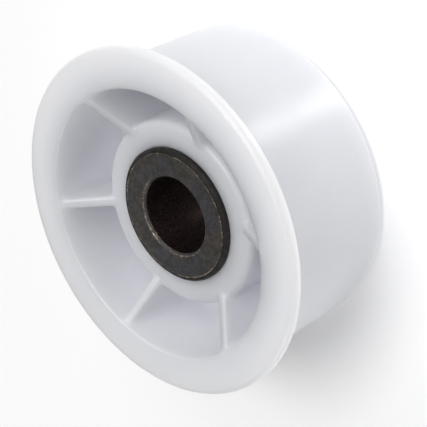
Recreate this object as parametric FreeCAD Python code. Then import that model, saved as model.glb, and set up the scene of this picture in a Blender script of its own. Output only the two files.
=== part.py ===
import FreeCAD, Part
import math
import os

# A moulded roller wheel with one end flange, on a pressed-in plain bush.
# Z is the axle. The back end is down, on the bush's back face at z = 0, and the
# flange end is up. X lies along one rib. All sizes are in millimetres and degrees.

# Wheel rim and flange
FLANGE_RISE = 3.125
FLANGE_THICKNESS = 1.7
FLANGE_FRONT_ROUND = 0.85
FLANGE_BACK_ROUND = 0.3
FLANGE_ROOT_ROUND = 0.6
TREAD_DIAMETER = 50.9
TREAD_END_ROUND = 0.5
WHEEL_WIDTH = 24.6
RIM_WALL = 3.3
LIP_ROUND = 0.35
BACK_LIP_ROUND = 0.4

# Hub, web and pockets
HUB_WALL = 4.2
HUB_RECESS = 5.56
HUB_EDGE_ROUND = 1.0
SEAT_CHAMFER = 0.25
WEB_THICKNESS = 2.4
BACK_POCKET_DEPTH = 6.7
POCKET_DRAFT = 1.0
POCKET_FLOOR_ROUND = 1.2

# Ribs, the same number on both sides of the web
RIB_COUNT = 6
RIB_THICKNESS = 1.6
RIB_DRAFT = 0.5
RIB_EDGE_ROUND = 0.5
RIB_ROOT_ROUND = 0.8
RIB_LAND = 1.4
RIB_LIP_GAP = 0.1
BACK_RIB_DROP = 1.0
RIB_BURY = 0.8
RIB_END_BURY = 0.2

# Plain bush
BUSH_DIAMETER = 22.225
BUSH_BORE = 12.8
BUSH_FRONT_STAND = 0.8
BUSH_BACK_STAND = 0.8
BUSH_EDGE_CHAMFER = 0.4
BUSH_BORE_CHAMFER = 0.5

# Places that follow from the sizes above
back_z = BUSH_BACK_STAND
front_z = back_z + WHEEL_WIDTH
flange_back_z = front_z - FLANGE_THICKNESS
hub_front_z = front_z - HUB_RECESS
bush_front_z = hub_front_z + BUSH_FRONT_STAND
web_back_z = back_z + BACK_POCKET_DEPTH
web_front_z = web_back_z + WEB_THICKNESS
tread_radius = TREAD_DIAMETER / 2
flange_radius = tread_radius + FLANGE_RISE
seat_radius = BUSH_DIAMETER / 2
hub_radius = seat_radius + HUB_WALL
pocket_radius = tread_radius - RIM_WALL
draft_slope = math.tan(math.radians(POCKET_DRAFT))

CENTRE = FreeCAD.Vector(0, 0, 0)
AXLE = FreeCAD.Vector(0, 0, 1)

# No round takes more than a fixed part of the pocket's width
widest_round = (pocket_radius - hub_radius) / 4
floor_round = min(POCKET_FLOOR_ROUND, widest_round)
root_round = min(RIB_ROOT_ROUND, widest_round)

# Lengths closer than TOUCH are the same. A face whose normal rises less than UPRIGHT is upright
TOUCH = 0.001
UPRIGHT = 0.3


def arc_through(start, middle, end):
    """Return the edge of a circle arc through three points."""
    return Part.Arc(start, middle, end).toShape()


def rounded_corner(before, corner, after, radius):
    """Return the start, middle and end of the arc that rounds a corner."""
    to_before = (before - corner).normalize()
    to_after = (after - corner).normalize()
    half_angle = to_before.getAngle(to_after) / 2
    reach = radius / math.tan(half_angle)
    bisector = (to_before + to_after).normalize()
    centre = corner + bisector * (radius / math.sin(half_angle))
    return corner + to_before * reach, centre - bisector * radius, corner + to_after * reach


def turned(corners):
    """Turn a closed outline about Z. A corner is radius, height and rounding."""
    points = [FreeCAD.Vector(radius, 0, height) for radius, height, _ in corners]
    edges = []
    ends = []
    for index, (_, _, rounding) in enumerate(corners):
        corner = points[index]
        if rounding > 0:
            following = points[(index + 1) % len(points)]
            start, middle, end = rounded_corner(points[index - 1], corner, following, rounding)
            edges.append(arc_through(start, middle, end))
            ends.append((start, end))
        else:
            ends.append((corner, corner))
    for index, (start, _) in enumerate(ends):
        edges.append(Part.LineSegment(ends[index - 1][1], start).toShape())
    outline = Part.Wire(Part.__sortEdges__(edges))
    return Part.Face(outline).revolve(CENTRE, AXLE, 360)


def wheel_of_revolution():
    """Return the rim, flange, web and hub, with open ring pockets and no ribs."""
    front_fall = draft_slope * (front_z - web_front_z)
    front_rise = draft_slope * (hub_front_z - web_front_z)
    back_fall = draft_slope * (web_back_z - back_z)
    return turned([
        (seat_radius, back_z + SEAT_CHAMFER, 0),
        (seat_radius + SEAT_CHAMFER, back_z, 0),
        (hub_radius, back_z, HUB_EDGE_ROUND),
        (hub_radius + back_fall, web_back_z, floor_round),
        (pocket_radius - back_fall, web_back_z, floor_round),
        (pocket_radius, back_z, BACK_LIP_ROUND),
        (tread_radius, back_z, TREAD_END_ROUND),
        (tread_radius, flange_back_z, FLANGE_ROOT_ROUND),
        (flange_radius, flange_back_z, FLANGE_BACK_ROUND),
        (flange_radius, front_z, FLANGE_FRONT_ROUND),
        (pocket_radius, front_z, LIP_ROUND),
        (pocket_radius - front_fall, web_front_z, floor_round),
        (hub_radius + front_rise, web_front_z, floor_round),
        (hub_radius, hub_front_z, HUB_EDGE_ROUND),
        (seat_radius + SEAT_CHAMFER, hub_front_z, 0),
        (seat_radius, hub_front_z - SEAT_CHAMFER, 0),
    ])


def rib_plate(edge_z, web_z):
    """Return one drafted plate along X, thinner at edge_z than at the web."""
    half_edge = RIB_THICKNESS / 2
    half_root = half_edge + math.tan(math.radians(RIB_DRAFT)) * abs(edge_z - web_z)
    section = Part.makePolygon([
        FreeCAD.Vector(0, -half_root, web_z),
        FreeCAD.Vector(0, half_root, web_z),
        FreeCAD.Vector(0, half_edge, edge_z),
        FreeCAD.Vector(0, -half_edge, edge_z),
        FreeCAD.Vector(0, -half_root, web_z),
    ])
    return Part.Face(section).extrude(FreeCAD.Vector(tread_radius, 0, 0))


def rib(edge_z, web_z, side_view):
    """Return one rib along X: a drafted plate cut to its side view, with a rounded free edge."""
    corners = [FreeCAD.Vector(radius, -tread_radius, height) for radius, height in side_view]
    outline = Part.Face(Part.makePolygon(corners + corners[:1]))
    cut = rib_plate(edge_z, web_z).common(outline.extrude(FreeCAD.Vector(0, TREAD_DIAMETER, 0)))
    free_edges = [edge for edge in cut.Edges if on_free_edge(edge, side_view[-2], side_view[-1])]
    return cut.makeFillet(RIB_EDGE_ROUND, free_edges)


def on_free_edge(edge, outer, inner):
    """Say whether an edge runs lengthwise along the rib's free side."""
    low, high = sorted([inner, outer])
    ends = [vertex.Point for vertex in edge.Vertexes]
    for end in ends:
        share = (end.x - low[0]) / (high[0] - low[0])
        if abs(low[1] + share * (high[1] - low[1]) - end.z) > TOUCH:
            return False
    return abs(ends[0].x - ends[1].x) > TOUCH


def all_round(piece):
    """Return copies of a piece at each rib's angle."""
    return [piece.rotated(CENTRE, AXLE, 360 / RIB_COUNT * index) for index in range(RIB_COUNT)]


def front_ribs():
    """Return the ribs that slope down from the rim and run out on the hub's face."""
    rim_z = front_z - LIP_ROUND - RIB_LIP_GAP
    hub_end = hub_radius - RIB_LAND
    slope = (rim_z - hub_front_z) / (pocket_radius - hub_end)
    outer = pocket_radius + RIB_END_BURY
    inner = hub_end - RIB_BURY
    buried_z = web_front_z - RIB_BURY
    return all_round(rib(front_z, buried_z, [
        (inner, buried_z),
        (outer, buried_z),
        (outer, rim_z + slope * RIB_END_BURY),
        (inner, hub_front_z - slope * RIB_BURY),
    ]))


def back_ribs():
    """Return the ribs of the side that faces the bracket."""
    edge_z = back_z + BACK_RIB_DROP
    buried_z = web_back_z + RIB_BURY
    inner = hub_radius - RIB_BURY
    outer = pocket_radius + RIB_BURY
    return all_round(rib(edge_z, buried_z, [
        (inner, buried_z),
        (outer, buried_z),
        (outer, edge_z),
        (inner, edge_z),
    ]))


def is_rib_side(face):
    """Say whether a face is one flat side of a rib, which is nearly upright."""
    return isinstance(face.Surface, Part.Plane) and abs(face.normalAt(0, 0).z) < UPRIGHT


def is_free_round(face):
    """Say whether a face is the round along a rib's free edge."""
    return isinstance(face.Surface, Part.Cylinder) and abs(face.Surface.Radius - RIB_EDGE_ROUND) < TOUCH


def rib_root_edges(wheel, low_z, high_z):
    """Return the inside edges at the roots of the ribs that lie between two heights."""
    roots = []
    for side in filter(is_rib_side, wheel.Faces):
        if low_z < side.CenterOfMass.z < high_z:
            for edge in side.Edges:
                neighbours = wheel.ancestorsOfType(edge, Part.Face)
                if not any(is_free_round(face) for face in neighbours):
                    roots.append(edge)
    return roots


def roller_body():
    """Return the moulded wheel: rim, flange, web, hub and ribs in one piece."""
    wheel = wheel_of_revolution().fuse(front_ribs() + back_ribs()).removeSplitter()
    wheel = wheel.makeFillet(root_round, rib_root_edges(wheel, web_front_z, front_z))
    return wheel.makeFillet(root_round, rib_root_edges(wheel, back_z, web_back_z))


def sleeve_bush():
    """Return the plain bush, chamfered at both ends inside and out."""
    bore_radius = BUSH_BORE / 2
    return turned([
        (bore_radius, BUSH_BORE_CHAMFER, 0),
        (bore_radius + BUSH_BORE_CHAMFER, 0, 0),
        (seat_radius - BUSH_EDGE_CHAMFER, 0, 0),
        (seat_radius, BUSH_EDGE_CHAMFER, 0),
        (seat_radius, bush_front_z - BUSH_EDGE_CHAMFER, 0),
        (seat_radius - BUSH_EDGE_CHAMFER, bush_front_z, 0),
        (bore_radius + BUSH_BORE_CHAMFER, bush_front_z, 0),
        (bore_radius, bush_front_z - BUSH_BORE_CHAMFER, 0),
    ])


def export(name, shape):
    """Write one piece to its own STEP file."""
    shape.exportStep("parts/" + name + ".step")
    print(name, "solids", len(shape.Solids), "valid", shape.isValid(), "volume", round(shape.Volume, 1))


os.makedirs("parts", exist_ok=True)
export("roller_body", roller_body())
export("sleeve_bush", sleeve_bush())
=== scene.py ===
import math

import bpy
from mathutils import Matrix, Vector


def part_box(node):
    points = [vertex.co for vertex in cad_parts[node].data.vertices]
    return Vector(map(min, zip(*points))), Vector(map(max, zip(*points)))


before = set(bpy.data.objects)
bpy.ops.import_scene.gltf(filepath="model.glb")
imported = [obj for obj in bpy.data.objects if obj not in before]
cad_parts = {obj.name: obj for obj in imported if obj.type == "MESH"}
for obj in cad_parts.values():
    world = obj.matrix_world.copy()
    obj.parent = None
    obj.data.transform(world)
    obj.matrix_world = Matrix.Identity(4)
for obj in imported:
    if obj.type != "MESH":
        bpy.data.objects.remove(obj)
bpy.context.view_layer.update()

MM = 0.001

# The photograph's view: its line of sight and up in the part's frame, and its lens in millimetres
SIGHT = Vector((0.67951, 0.35779, -0.64058)).normalized()
IMAGE_UP = Vector((0.15208, -0.92284, -0.35406)).normalized()
CAMERA_PLACE = Vector((-154.1, -78.3, 157.3)) * MM
SENSOR_WIDTH = 36
FOCAL_LENGTH = 119.1

# The floor lies just under the roller's lowest face
FLOOR_SIZE = 3.0
FLOOR_Z = -0.05 * MM
FLOOR_GLOW = 0.2
ROOM_LIGHT = 0.04

# How wide a lamp looks, in degrees: a large soft box, and the small one that draws the streak on the tread
SOFT = 34
NARROW = 12

# Light spreads this far inside the plastic, and a little further in red than in blue
LIGHT_REACH = 8 * MM
REACH_BY_COLOUR = (1.0, 0.97, 0.94)

# Height of the faint ripple on the moulded faces
RIPPLE_DEPTH = 0.006 * MM

# The bush: the height of its front face is the frame's, and its bore is as in the part
BUSH_FRONT_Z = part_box("sleeve_bush")[1].z
BORE_RADIUS = 6.4 * MM
BORE_CHAMFER = 0.5 * MM
# The bright ring: bare bronze from wear near the outer edge, partly a painted highlight on that edge
WORN_HIGHLIGHT_RING_RADIUS = 10.35 * MM
WORN_HIGHLIGHT_RING_CORE = 0.05 * MM
WORN_HIGHLIGHT_RING_REACH = 0.13 * MM
# Painted shade: from the bright ring outwards the bush's colour is darkened towards near black, over its
# outer edge and side wall
EDGE_BLEND = 0.15 * MM
EDGE_PAINTED_SHADE = 0.75
PORE_DEPTH = 0.05 * MM
TURNING_PITCH = 0.3 * MM
TURNING_DEPTH = 0.004 * MM
BORE_SMOOTHING = -0.2

# Sockets of Blender's Mix node that hold its two colours and its result
MIX_COLOURS = (6, 7)
MIX_RESULT = 2


def new_material(name):
    """Return a new node material with its node tree and its shader."""
    material = bpy.data.materials.new(name)
    material.use_nodes = True
    return material, material.node_tree, material.node_tree.nodes["Principled BSDF"]


def place_of(tree):
    """Return the socket of a surface point's place in the part's frame."""
    return tree.nodes.new("ShaderNodeTexCoord").outputs["Object"]


def grain(tree, place, size, detail=2.0, roughness=0.5):
    """Return the socket of a soft random pattern with features of about a size in metres."""
    node = tree.nodes.new("ShaderNodeTexNoise")
    node.inputs["Scale"].default_value = 1 / size
    node.inputs["Detail"].default_value = detail
    node.inputs["Roughness"].default_value = roughness
    tree.links.new(place, node.inputs["Vector"])
    return node.outputs["Fac"]


def share(tree, value, low, high, bottom=0.0, top=1.0):
    """Return the socket of a value carried from the span low to high onto bottom to top, smoothly."""
    node = tree.nodes.new("ShaderNodeMapRange")
    node.interpolation_type = "SMOOTHSTEP"
    for name, number in (("From Min", low), ("From Max", high), ("To Min", bottom), ("To Max", top)):
        node.inputs[name].default_value = number
    tree.links.new(value, node.inputs["Value"])
    return node.outputs["Result"]


def reckon(tree, operation, *values):
    """Return the socket of one operation on sockets or numbers."""
    node = tree.nodes.new("ShaderNodeMath")
    node.operation = operation
    for socket, value in zip(node.inputs, values):
        if isinstance(value, (int, float)):
            socket.default_value = value
        else:
            tree.links.new(value, socket)
    return node.outputs["Value"]


def mixed(tree, amount, *colours):
    """Return the socket of a colour between two colours, each a socket or three numbers."""
    node = tree.nodes.new("ShaderNodeMix")
    node.data_type = "RGBA"
    tree.links.new(amount, node.inputs["Factor"])
    for index, colour in zip(MIX_COLOURS, colours):
        if isinstance(colour, tuple):
            node.inputs[index].default_value = (*colour, 1)
        else:
            tree.links.new(colour, node.inputs[index])
    return node.outputs[MIX_RESULT]


def relief(tree, height, depth, below=None):
    """Return the socket of a bumped normal, with a depth in metres for a height of one."""
    node = tree.nodes.new("ShaderNodeBump")
    node.inputs["Strength"].default_value = 1.0
    node.inputs["Distance"].default_value = depth
    tree.links.new(height, node.inputs["Height"])
    if below is not None:
        tree.links.new(below, node.inputs["Normal"])
    return node.outputs["Normal"]


def moulded_white():
    """Return the wheel's smooth white plastic, which light passes well into."""
    material, tree, shader = new_material("white_plastic")
    place = place_of(tree)
    cloud = share(tree, grain(tree, place, 9 * MM), 0.35, 0.65)
    colour = mixed(tree, cloud, (0.82, 0.83, 0.882), (0.834, 0.842, 0.89))
    rough = share(tree, grain(tree, place, 8 * MM), 0.3, 0.7, 0.29, 0.34)
    ripple = relief(tree, grain(tree, place, 5 * MM, 0.0), RIPPLE_DEPTH)
    tree.links.new(colour, shader.inputs["Base Color"])
    tree.links.new(rough, shader.inputs["Roughness"])
    tree.links.new(ripple, shader.inputs["Normal"])
    shader.inputs["Subsurface Weight"].default_value = 1.0
    shader.inputs["Subsurface Radius"].default_value = REACH_BY_COLOUR
    shader.inputs["Subsurface Scale"].default_value = LIGHT_REACH
    return material


def radius_and_depth(tree, place):
    """Return the sockets of the distance from the axle and of the depth under the bush's front face."""
    parts = tree.nodes.new("ShaderNodeSeparateXYZ")
    tree.links.new(place, parts.inputs["Vector"])
    x_squared = reckon(tree, "MULTIPLY", parts.outputs["X"], parts.outputs["X"])
    y_squared = reckon(tree, "MULTIPLY", parts.outputs["Y"], parts.outputs["Y"])
    radius = reckon(tree, "SQRT", reckon(tree, "ADD", x_squared, y_squared))
    return radius, reckon(tree, "SUBTRACT", BUSH_FRONT_Z, parts.outputs["Z"])


def bush_wear_and_highlight(tree, place, radius, depth):
    """Return the socket of a mask of bare metal, partly a painted highlight: a broken ring near the outer
    edge, and the bore's lip.
    """
    off_ring = reckon(tree, "ABSOLUTE", reckon(tree, "SUBTRACT", radius, WORN_HIGHLIGHT_RING_RADIUS))
    ring = share(tree, off_ring, WORN_HIGHLIGHT_RING_REACH, WORN_HIGHLIGHT_RING_CORE)
    ring = reckon(tree, "MULTIPLY", ring, share(tree, depth, 0.9 * MM, 0.6 * MM))
    lip = share(tree, radius, BORE_RADIUS + BORE_CHAMFER * 1.15, BORE_RADIUS + BORE_CHAMFER * 0.8)
    lip = reckon(tree, "MULTIPLY", lip, share(tree, depth, BORE_CHAMFER * 0.5, BORE_CHAMFER * 0.2))
    patchy = share(tree, grain(tree, place, 2.5 * MM, 4.0, 0.7), 0.42, 0.58)
    speckled = share(tree, grain(tree, place, 0.35 * MM, 3.0, 0.7), 0.4, 0.62)
    broken = reckon(tree, "MULTIPLY", patchy, speckled)
    return reckon(tree, "MULTIPLY", broken, reckon(tree, "MAXIMUM", ring, lip))


def bush_colour(tree, place, radius, bore, worn_and_highlight):
    """Return the socket of a dark oily mottle, with painted shade from the bright ring outwards over the
    outer edge, darker in the bore, and bare bronze where the mask is set, partly a painted highlight.
    """
    mottle = share(tree, grain(tree, place, 1.6 * MM, 5.0, 0.7), 0.4, 0.62)
    tint = share(tree, grain(tree, place, 5 * MM, 3.0), 0.42, 0.6)
    # Painted shade on the outer edge and side wall, darker from the bright ring outwards
    edge = share(tree, radius, WORN_HIGHLIGHT_RING_RADIUS, WORN_HIGHLIGHT_RING_RADIUS + EDGE_BLEND)
    edge = reckon(tree, "MULTIPLY", edge, EDGE_PAINTED_SHADE)
    greys = mixed(tree, tint, (0.145, 0.126, 0.114), (0.124, 0.118, 0.138))
    face = mixed(tree, mottle, greys, (0.088, 0.088, 0.078))
    face = mixed(tree, edge, face, (0.018, 0.018, 0.015))
    # Darker reddish brown in the bore
    darker_in_bore = mixed(tree, bore, face, (0.04, 0.024, 0.022))
    # Bright bare bronze where the mask is set: wear, partly a painted highlight on the ring and the bore's
    # lip
    return mixed(tree, worn_and_highlight, darker_in_bore, (0.75, 0.6, 0.42))


def bush_relief(tree, place, radius):
    """Return the socket of a normal with pores all over and faint turning marks round the axle."""
    pores = share(tree, grain(tree, place, 0.22 * MM, 3.0, 0.75), 0.36, 0.55)
    wave = reckon(tree, "SINE", reckon(tree, "MULTIPLY", radius, 2 * math.pi / TURNING_PITCH))
    return relief(tree, pores, PORE_DEPTH, relief(tree, wave, TURNING_DEPTH))


def sintered_bronze():
    """Return the bush's dark, oiled sintered metal: a mottled face, bare bronze from wear at the ring and the
    bore's lip that is partly a painted highlight, painted shade on the outer edge, and a smoother, darker
    bore.
    """
    material, tree, shader = new_material("sintered_bronze")
    place = place_of(tree)
    radius, depth = radius_and_depth(tree, place)
    bore = share(tree, radius, BORE_RADIUS + 0.1 * MM, BORE_RADIUS + 0.02 * MM)
    worn_and_highlight = bush_wear_and_highlight(tree, place, radius, depth)
    rough = share(tree, grain(tree, place, 0.8 * MM, 3.0), 0.3, 0.7, 0.42, 0.6)
    rough = reckon(tree, "ADD", rough, reckon(tree, "MULTIPLY", bore, BORE_SMOOTHING))
    tree.links.new(bush_colour(tree, place, radius, bore, worn_and_highlight), shader.inputs["Base Color"])
    tree.links.new(bush_relief(tree, place, radius), shader.inputs["Normal"])
    tree.links.new(rough, shader.inputs["Roughness"])
    shader.inputs["Metallic"].default_value = 0.85
    return material


def dress(node, material):
    """Give a CAD node its one material."""
    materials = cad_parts[node].data.materials
    materials.clear()
    materials.append(material)


def place_camera():
    """Put the camera where the photograph was taken from."""
    data = bpy.data.cameras.new("camera")
    data.sensor_width = SENSOR_WIDTH
    data.lens = FOCAL_LENGTH
    camera = bpy.data.objects.new("camera", data)
    bpy.context.scene.collection.objects.link(camera)
    pose = Matrix((SIGHT.cross(IMAGE_UP), IMAGE_UP, -SIGHT)).transposed().to_4x4()
    pose.translation = CAMERA_PLACE
    camera.matrix_world = pose
    bpy.context.scene.camera = camera


def floor_paper():
    """Return the floor's matt white, which glows a little."""
    material, _, shader = new_material("floor_paper")
    shader.inputs["Base Color"].default_value = (0.97, 0.97, 0.97, 1)
    shader.inputs["Roughness"].default_value = 0.9
    shader.inputs["Specular IOR Level"].default_value = 0.0
    shader.inputs["Emission Color"].default_value = (1, 1, 1, 1)
    shader.inputs["Emission Strength"].default_value = FLOOR_GLOW
    return material


def lay_floor():
    """Lay a plain pale light table under the roller. It stops no light, so a lamp under it shines through."""
    half = FLOOR_SIZE / 2
    mesh = bpy.data.meshes.new("floor")
    corners = [(-half, -half, FLOOR_Z), (half, -half, FLOOR_Z), (half, half, FLOOR_Z), (-half, half, FLOOR_Z)]
    mesh.from_pydata(corners, [], [(0, 1, 2, 3)])
    mesh.materials.append(floor_paper())
    floor = bpy.data.objects.new("floor", mesh)
    bpy.context.scene.collection.objects.link(floor)
    floor.visible_shadow = False


def sun(name, towards, energy, angle):
    """Shine a lamp from the direction towards it."""
    data = bpy.data.lights.new(name, "SUN")
    data.energy = energy
    data.angle = math.radians(angle)
    lamp = bpy.data.objects.new(name, data)
    lamp.rotation_mode = "QUATERNION"
    lamp.rotation_quaternion = Vector(towards).to_track_quat("Z", "Y")
    bpy.context.scene.collection.objects.link(lamp)


def light_room():
    """Fill the room with faint even white light."""
    world = bpy.data.worlds.new("room")
    world.use_nodes = True
    background = world.node_tree.nodes["Background"]
    background.inputs["Color"].default_value = (1, 1, 1, 1)
    background.inputs["Strength"].default_value = ROOM_LIGHT
    bpy.context.scene.world = world


def place_lights():
    """Place the five soft lamps, and then the narrow one that draws the streak on the tread."""
    sun("front_light", (-0.09, -0.37, 0.92), 1.42, SOFT)
    sun("front_right_light", (-0.58, -0.35, 0.72), 0.36, SOFT)
    sun("high_top_light", (-0.23, -0.82, 0.53), 0.6, SOFT)
    sun("top_left_light", (0.37, -0.64, 0.67), 0.3, SOFT)
    sun("low_light", (-0.13, 0.94, 0.33), 0.65, SOFT)
    sun("streak_light", (-0.43, -0.57, -0.70), 0.36, NARROW)


place_camera()
lay_floor()
dress("roller_body", moulded_white())
dress("sleeve_bush", sintered_bronze())
light_room()
place_lights()
bpy.context.scene.view_settings.view_transform = "Standard"
